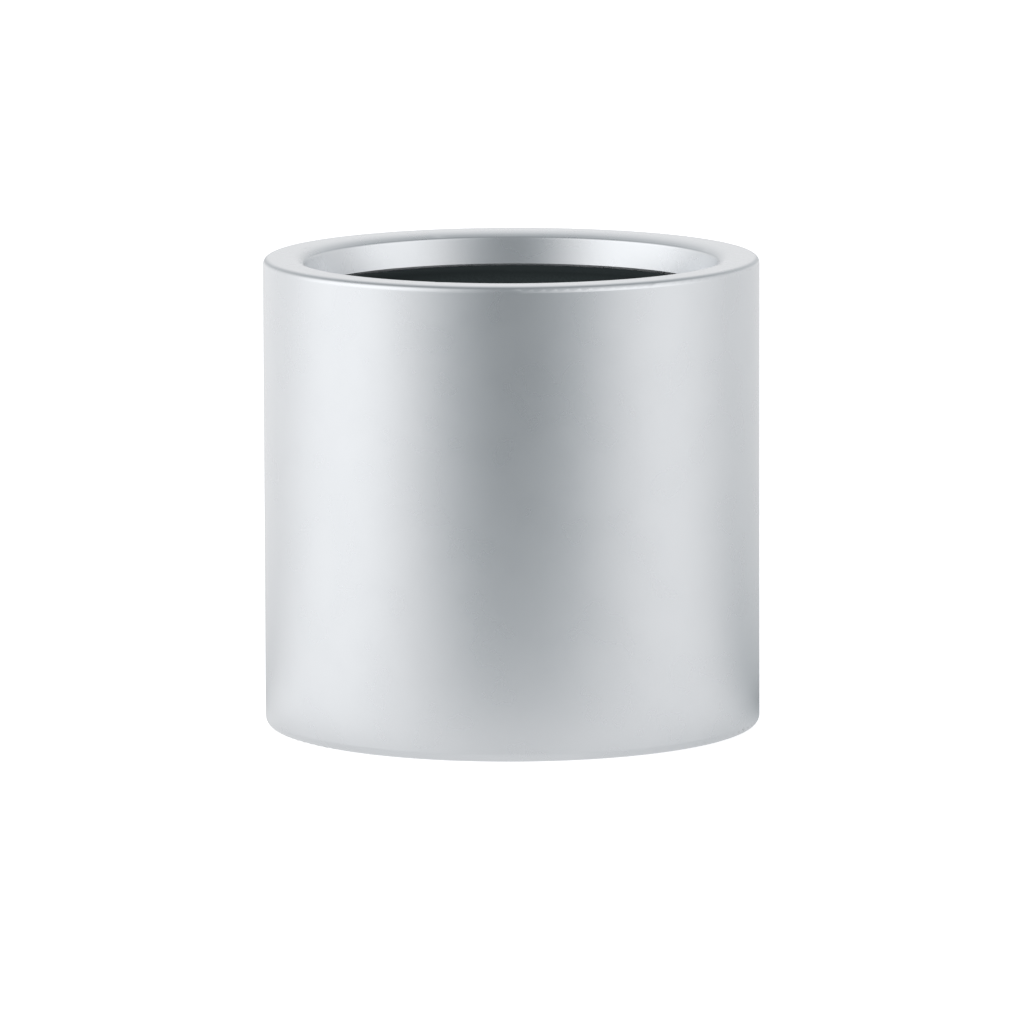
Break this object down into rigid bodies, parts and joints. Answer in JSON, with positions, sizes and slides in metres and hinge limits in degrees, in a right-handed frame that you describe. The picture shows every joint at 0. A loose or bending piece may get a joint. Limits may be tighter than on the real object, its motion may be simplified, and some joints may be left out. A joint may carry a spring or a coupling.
{
  "type": "candle tin",
  "caption": "Round double-walled candle tin: a silver shell with a flat rim and a black cup for the wax that hangs in its mouth and lifts out.",
  "frame": {"origin": "centre of the tin on the surface it stands on", "axes": "+Z is the tin's axis and points up out of the mouth; the tin is a body of revolution, so +X and +Y are any two level directions at right angles"},
  "size_m": [0.09, 0.09, 0.0855],
  "materials": {
    "silver_lacquer": "fine metallic silver lacquer with a clear, satin top coat",
    "black_enamel": "matt black baked coating with a fine grain",
    "silicone": "soft matt silicone",
    "insulating_felt": "dense needled felt of heat-proof fibre",
    "foam_rubber": "dense closed-cell foam rubber with a fine pebble grain"
  },
  "bodies": {
    "vessel": {"outer_shell": "silver_lacquer", "rim_ring": "silver_lacquer", "seat_ring": "silicone", "floor_pad": "insulating_felt", "base_pad": "foam_rubber"},
    "cup": {"inner_cup": "black_enamel"}
  },
  "joints": [
    {"name": "cup_lift", "type": "slide", "parent": "vessel", "child": "cup", "axis": [0, 0, 1], "range_m": [0, 0.085]}
  ]
}
